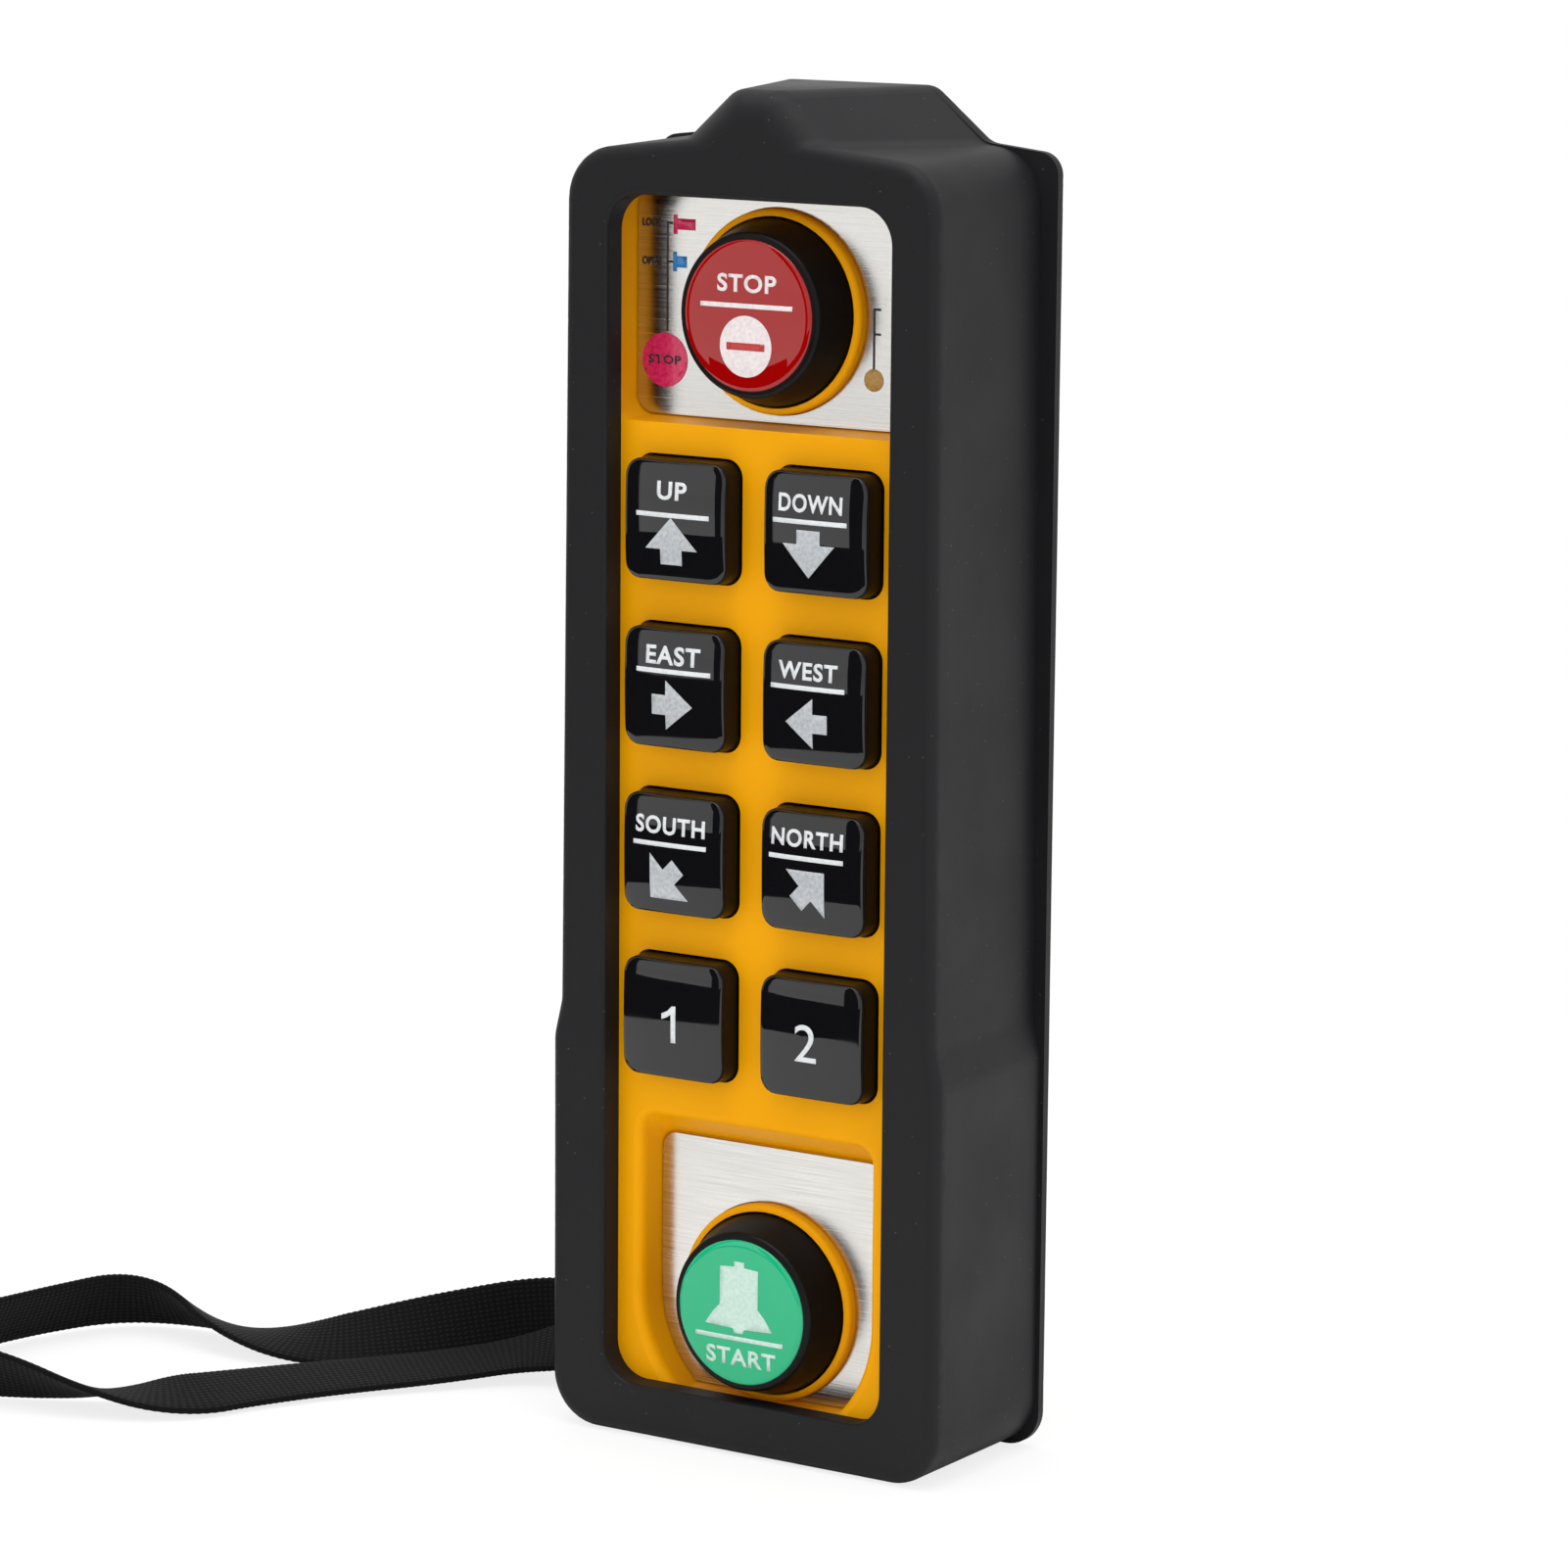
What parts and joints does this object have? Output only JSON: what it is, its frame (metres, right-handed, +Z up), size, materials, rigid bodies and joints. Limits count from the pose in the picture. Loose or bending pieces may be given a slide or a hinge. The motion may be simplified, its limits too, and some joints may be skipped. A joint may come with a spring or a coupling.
{
  "type": "hoist pendant control",
  "caption": "Wireless hand control for a hoist: yellow keypad case with square direction keys and round stop and start buttons, in a black rubber sleeve with a wrist strap.",
  "frame": {"origin": "under the middle of the sleeve, on the surface that the control stands on", "axes": "+X to the right seen from the front, +Y from the keypad to the battery cover, +Z up along the handset"},
  "size_m": [0.1657, 0.075, 0.2039],
  "materials": {
    "sleeve_rubber": "matte black moulded rubber",
    "yellow_plastic": "satin yellow moulded plastic",
    "silicone": "grey silicone",
    "steel": "plain steel",
    "brushed_plate": "brushed aluminium",
    "board_laminate": "green laminate",
    "shield_can": "tinned sheet steel",
    "chip_epoxy": "black moulded plastic",
    "cell_jacket": "plain dark jacket",
    "key_plastic": "satin black plastic",
    "key_tile": "glossy black domed tile",
    "button_plastic": "satin black plastic",
    "red_tile": "glossy red domed disc",
    "green_tile": "glossy green domed disc",
    "strap_webbing": "black woven webbing"
  },
  "bodies": {
    "handset": {"rubber_sleeve": "sleeve_rubber", "front_shell": "yellow_plastic", "rear_shell": "yellow_plastic", "shell_gasket": "silicone", "shell_screws": "steel", "stop_plate": "brushed_plate", "start_plate": "brushed_plate", "circuit_board": "board_laminate", "board_screws": "steel", "radio_module": "shield_can", "control_chip": "chip_epoxy", "antenna": "chip_epoxy", "battery_cell_left": "cell_jacket", "battery_cell_right": "cell_jacket", "battery_contacts": "shield_can", "battery_cover_seal": "silicone", "strap_pin": "steel", "wrist_strap": "strap_webbing", "key_up_dome": "silicone", "key_down_dome": "silicone", "key_east_dome": "silicone", "key_west_dome": "silicone", "key_south_dome": "silicone", "key_north_dome": "silicone", "key_one_dome": "silicone", "key_two_dome": "silicone", "stop_bellows": "silicone", "stop_switch": "chip_epoxy", "start_bellows": "silicone", "start_switch": "chip_epoxy"},
    "key_up": {"key_up": "key_plastic", "key_up_label": "key_tile"},
    "key_down": {"key_down": "key_plastic", "key_down_label": "key_tile"},
    "key_east": {"key_east": "key_plastic", "key_east_label": "key_tile"},
    "key_west": {"key_west": "key_plastic", "key_west_label": "key_tile"},
    "key_south": {"key_south": "key_plastic", "key_south_label": "key_tile"},
    "key_north": {"key_north": "key_plastic", "key_north_label": "key_tile"},
    "key_one": {"key_one": "key_plastic", "key_one_label": "key_tile"},
    "key_two": {"key_two": "key_plastic", "key_two_label": "key_tile"},
    "stop_button": {"stop_button": "button_plastic", "stop_label": "red_tile", "stop_clip": "steel"},
    "start_button": {"start_button": "button_plastic", "start_label": "green_tile", "start_clip": "steel"},
    "battery_cover": {"battery_cover": "yellow_plastic"},
    "cover_screw_upper": {"cover_screw_upper": "steel"},
    "cover_screw_lower": {"cover_screw_lower": "steel"}
  },
  "joints": [
    {"name": "key_up_press", "type": "slide", "parent": "handset", "child": "key_up", "axis": [0, 1, 0], "range_m": [0, 0.0012], "stiffness_N_per_m": 600, "deforming": ["key_up_dome"]},
    {"name": "key_down_press", "type": "slide", "parent": "handset", "child": "key_down", "axis": [0, 1, 0], "range_m": [0, 0.0012], "stiffness_N_per_m": 600, "deforming": ["key_down_dome"]},
    {"name": "key_east_press", "type": "slide", "parent": "handset", "child": "key_east", "axis": [0, 1, 0], "range_m": [0, 0.0012], "stiffness_N_per_m": 600, "deforming": ["key_east_dome"]},
    {"name": "key_west_press", "type": "slide", "parent": "handset", "child": "key_west", "axis": [0, 1, 0], "range_m": [0, 0.0012], "stiffness_N_per_m": 600, "deforming": ["key_west_dome"]},
    {"name": "key_south_press", "type": "slide", "parent": "handset", "child": "key_south", "axis": [0, 1, 0], "range_m": [0, 0.0012], "stiffness_N_per_m": 600, "deforming": ["key_south_dome"]},
    {"name": "key_north_press", "type": "slide", "parent": "handset", "child": "key_north", "axis": [0, 1, 0], "range_m": [0, 0.0012], "stiffness_N_per_m": 600, "deforming": ["key_north_dome"]},
    {"name": "key_one_press", "type": "slide", "parent": "handset", "child": "key_one", "axis": [0, 1, 0], "range_m": [0, 0.0012], "stiffness_N_per_m": 600, "deforming": ["key_one_dome"]},
    {"name": "key_two_press", "type": "slide", "parent": "handset", "child": "key_two", "axis": [0, 1, 0], "range_m": [0, 0.0012], "stiffness_N_per_m": 600, "deforming": ["key_two_dome"]},
    {"name": "stop_press", "type": "slide", "parent": "handset", "child": "stop_button", "axis": [0, 1, 0], "range_m": [0, 0.0035], "deforming": ["stop_bellows"]},
    {"name": "start_press", "type": "slide", "parent": "handset", "child": "start_button", "axis": [0, 1, 0], "range_m": [0, 0.003], "stiffness_N_per_m": 500, "deforming": ["start_bellows"]},
    {"name": "battery_cover_lift", "type": "slide", "parent": "handset", "child": "battery_cover", "axis": [0, 1, 0], "range_m": [0, 0.025]},
    {"name": "cover_screw_upper_turn", "type": "hinge", "parent": "battery_cover", "child": "cover_screw_upper", "pos_m": [0, 0.0146, 0.13515], "axis": [0, 1, 0], "continuous": true},
    {"name": "cover_screw_lower_turn", "type": "hinge", "parent": "battery_cover", "child": "cover_screw_lower", "pos_m": [0, 0.0146, 0.07045], "axis": [0, 1, 0], "continuous": true}
  ]
}
